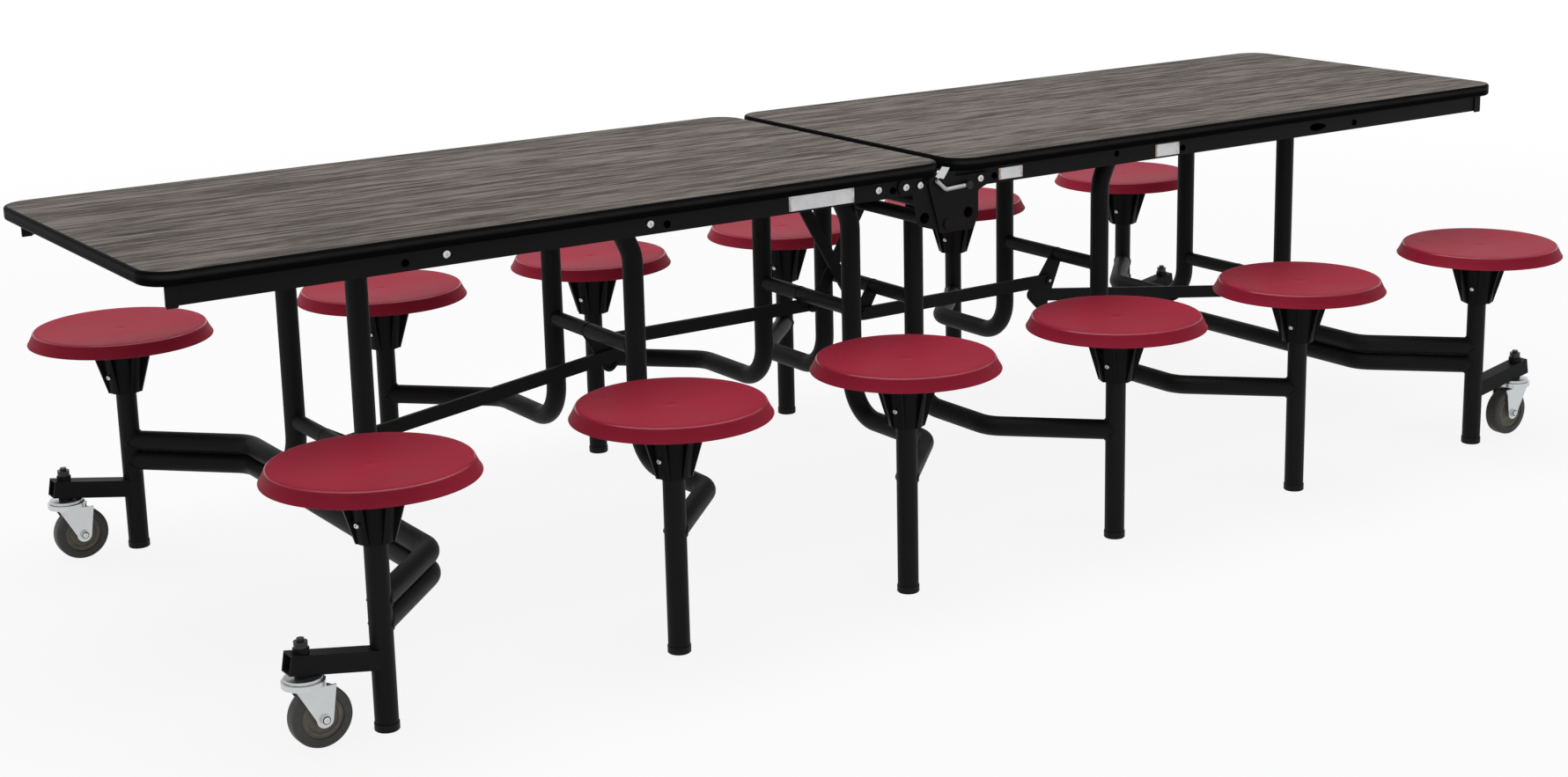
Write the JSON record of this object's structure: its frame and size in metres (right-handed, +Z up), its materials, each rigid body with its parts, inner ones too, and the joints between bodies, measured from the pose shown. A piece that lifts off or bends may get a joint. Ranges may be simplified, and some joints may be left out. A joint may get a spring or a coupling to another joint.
{
  "type": "mobile cafeteria table",
  "caption": "Long folding cafeteria table with attached round stools on bent tube frames, link bars, a centre hinge with latch and swivel casters at both ends.",
  "frame": {"origin": "on the floor under the middle of the table", "axes": "+X along the table, +Y to the rear, +Z up"},
  "size_m": [3.068, 1.466, 0.737],
  "materials": {
    "frame": "black powder coat",
    "seat": "satin moulded",
    "mount": "moulded",
    "glide": "moulded",
    "zinc": "zinc plated",
    "laminate": "satin fine-streaked print",
    "board": "raw",
    "edge": "satin",
    "tyre": "moulded tread"
  },
  "bodies": {
    "left_inner_frame": {"left_inner_frame": "frame", "left_inner_seats": "seat", "left_inner_seat_mounts": "mount", "left_inner_glides": "glide"},
    "left_middle_frame": {"left_middle_frame": "frame", "left_middle_seats": "seat", "left_middle_seat_mounts": "mount", "left_middle_glides": "glide"},
    "left_caster_frame": {"left_caster_frame": "frame", "left_caster_seats": "seat", "left_caster_seat_mounts": "mount", "left_caster_glides": "glide", "left_caster_stems": "zinc"},
    "left_top": {"left_laminate": "laminate", "left_board": "board", "left_edge_band": "edge", "left_side_rails": "frame", "left_pivot_rods": "zinc", "left_hinge_frame": "frame", "hinge_pins": "zinc"},
    "left_outer_link": {"left_outer_link_bar": "frame"},
    "left_inner_link": {"left_inner_link_bar": "frame"},
    "left_brace": {"left_brace": "frame"},
    "left_front_caster_fork": {"left_front_caster_fork": "zinc", "left_front_caster_axle": "zinc"},
    "left_front_caster_wheel": {"left_front_caster_wheel": "tyre"},
    "left_rear_caster_fork": {"left_rear_caster_fork": "zinc", "left_rear_caster_axle": "zinc"},
    "left_rear_caster_wheel": {"left_rear_caster_wheel": "tyre"},
    "right_inner_frame": {"right_inner_frame": "frame", "right_inner_seats": "seat", "right_inner_seat_mounts": "mount", "right_inner_glides": "glide"},
    "right_middle_frame": {"right_middle_frame": "frame", "right_middle_seats": "seat", "right_middle_seat_mounts": "mount", "right_middle_glides": "glide"},
    "right_caster_frame": {"right_caster_frame": "frame", "right_caster_seats": "seat", "right_caster_seat_mounts": "mount", "right_caster_glides": "glide", "right_caster_stems": "zinc"},
    "right_top": {"right_laminate": "laminate", "right_board": "board", "right_edge_band": "edge", "right_side_rails": "frame", "right_pivot_rods": "zinc", "right_hinge_frame": "frame"},
    "right_outer_link": {"right_outer_link_bar": "frame"},
    "right_inner_link": {"right_inner_link_bar": "frame"},
    "right_brace": {"right_brace": "frame"},
    "right_front_caster_fork": {"right_front_caster_fork": "zinc", "right_front_caster_axle": "zinc"},
    "right_front_caster_wheel": {"right_front_caster_wheel": "tyre"},
    "right_rear_caster_fork": {"right_rear_caster_fork": "zinc", "right_rear_caster_axle": "zinc"},
    "right_rear_caster_wheel": {"right_rear_caster_wheel": "tyre"},
    "latch_handle": {"latch_handle": "zinc"}
  },
  "joints": [
    {"name": "fold", "type": "hinge", "parent": "left_caster_frame", "child": "left_top", "pos_m": [-1.101, 0, 0.692], "axis": [0, -1, 0], "range_deg": [0, 90]},
    {"name": "centre_hinge", "type": "hinge", "parent": "left_top", "child": "right_top", "pos_m": [0, 0, 0.616], "axis": [0, -1, 0], "range_deg": [-180, 0]},
    {"name": "left_middle_pivot", "type": "hinge", "parent": "left_top", "child": "left_middle_frame", "pos_m": [-0.606, 0, 0.692], "axis": [0, -1, 0], "range_deg": [-90, 0]},
    {"name": "left_inner_pivot", "type": "hinge", "parent": "left_top", "child": "left_inner_frame", "pos_m": [-0.12, 0, 0.692], "axis": [0, -1, 0], "range_deg": [-90, 0]},
    {"name": "right_inner_pivot", "type": "hinge", "parent": "right_top", "child": "right_inner_frame", "pos_m": [0.12, 0, 0.692], "axis": [0, -1, 0], "range_deg": [0, 90]},
    {"name": "right_middle_pivot", "type": "hinge", "parent": "right_top", "child": "right_middle_frame", "pos_m": [0.606, 0, 0.692], "axis": [0, -1, 0], "range_deg": [0, 90]},
    {"name": "right_caster_pivot", "type": "hinge", "parent": "right_top", "child": "right_caster_frame", "pos_m": [1.101, 0, 0.692], "axis": [0, -1, 0], "range_deg": [0, 90]},
    {"name": "left_outer_link_pivot", "type": "hinge", "parent": "left_caster_frame", "child": "left_outer_link", "pos_m": [-1.071, 0, 0.297], "axis": [0, -1, 0], "range_deg": [0, 76]},
    {"name": "left_inner_link_pivot", "type": "hinge", "parent": "left_middle_frame", "child": "left_inner_link", "pos_m": [-0.532, 0, 0.397], "axis": [0, -1, 0], "range_deg": [0, 90]},
    {"name": "right_inner_link_pivot", "type": "hinge", "parent": "right_middle_frame", "child": "right_inner_link", "pos_m": [0.532, 0, 0.373], "axis": [0, -1, 0], "range_deg": [-90, 0]},
    {"name": "right_outer_link_pivot", "type": "hinge", "parent": "right_caster_frame", "child": "right_outer_link", "pos_m": [1.071, 0, 0.268], "axis": [0, -1, 0], "range_deg": [-76, 0]},
    {"name": "left_brace_pivot", "type": "hinge", "parent": "left_top", "child": "left_brace", "pos_m": [-0.11575, 0, 0.656], "axis": [0, -1, 0], "range_deg": [-113, 0]},
    {"name": "right_brace_pivot", "type": "hinge", "parent": "right_top", "child": "right_brace", "pos_m": [0.11366, 0, 0.656], "axis": [0, -1, 0], "range_deg": [0, 114]},
    {"name": "latch_pivot", "type": "hinge", "parent": "right_top", "child": "latch_handle", "pos_m": [0.045, -0.368, 0.686], "axis": [0, -1, 0], "range_deg": [0, 25]},
    {"name": "left_front_caster_swivel", "type": "hinge", "parent": "left_caster_frame", "child": "left_front_caster_fork", "pos_m": [-1.406, -0.562, 0.115], "axis": [0, 0, 1], "continuous": true},
    {"name": "left_front_caster_spin", "type": "hinge", "parent": "left_front_caster_fork", "child": "left_front_caster_wheel", "pos_m": [-1.383, -0.562, 0.0515], "axis": [0, 1, 0], "continuous": true},
    {"name": "left_rear_caster_swivel", "type": "hinge", "parent": "left_caster_frame", "child": "left_rear_caster_fork", "pos_m": [-1.406, 0.562, 0.115], "axis": [0, 0, 1], "continuous": true},
    {"name": "left_rear_caster_spin", "type": "hinge", "parent": "left_rear_caster_fork", "child": "left_rear_caster_wheel", "pos_m": [-1.383, 0.562, 0.0515], "axis": [0, 1, 0], "continuous": true},
    {"name": "right_front_caster_swivel", "type": "hinge", "parent": "right_caster_frame", "child": "right_front_caster_fork", "pos_m": [1.406, -0.562, 0.115], "axis": [0, 0, 1], "continuous": true},
    {"name": "right_front_caster_spin", "type": "hinge", "parent": "right_front_caster_fork", "child": "right_front_caster_wheel", "pos_m": [1.383, -0.562, 0.0515], "axis": [0, 1, 0], "continuous": true},
    {"name": "right_rear_caster_swivel", "type": "hinge", "parent": "right_caster_frame", "child": "right_rear_caster_fork", "pos_m": [1.406, 0.562, 0.115], "axis": [0, 0, 1], "continuous": true},
    {"name": "right_rear_caster_spin", "type": "hinge", "parent": "right_rear_caster_fork", "child": "right_rear_caster_wheel", "pos_m": [1.383, 0.562, 0.0515], "axis": [0, 1, 0], "continuous": true}
  ],
  "couplings": [
    {"joint": "centre_hinge", "follows": "fold", "ratio": -2},
    {"joint": "left_middle_pivot", "follows": "fold", "ratio": -1},
    {"joint": "left_inner_pivot", "follows": "fold", "ratio": -1},
    {"joint": "right_inner_pivot", "follows": "fold", "ratio": 1},
    {"joint": "right_middle_pivot", "follows": "fold", "ratio": 1},
    {"joint": "right_caster_pivot", "follows": "fold", "ratio": 1},
    {"joint": "left_outer_link_pivot", "follows": "fold", "ratio": 0.83343},
    {"joint": "left_inner_link_pivot", "follows": "fold", "ratio": 1},
    {"joint": "right_inner_link_pivot", "follows": "fold", "ratio": -1},
    {"joint": "right_outer_link_pivot", "follows": "fold", "ratio": -0.83343},
    {"joint": "left_brace_pivot", "follows": "fold", "ratio": -1.2483},
    {"joint": "right_brace_pivot", "follows": "fold", "ratio": 1.2635}
  ]
}
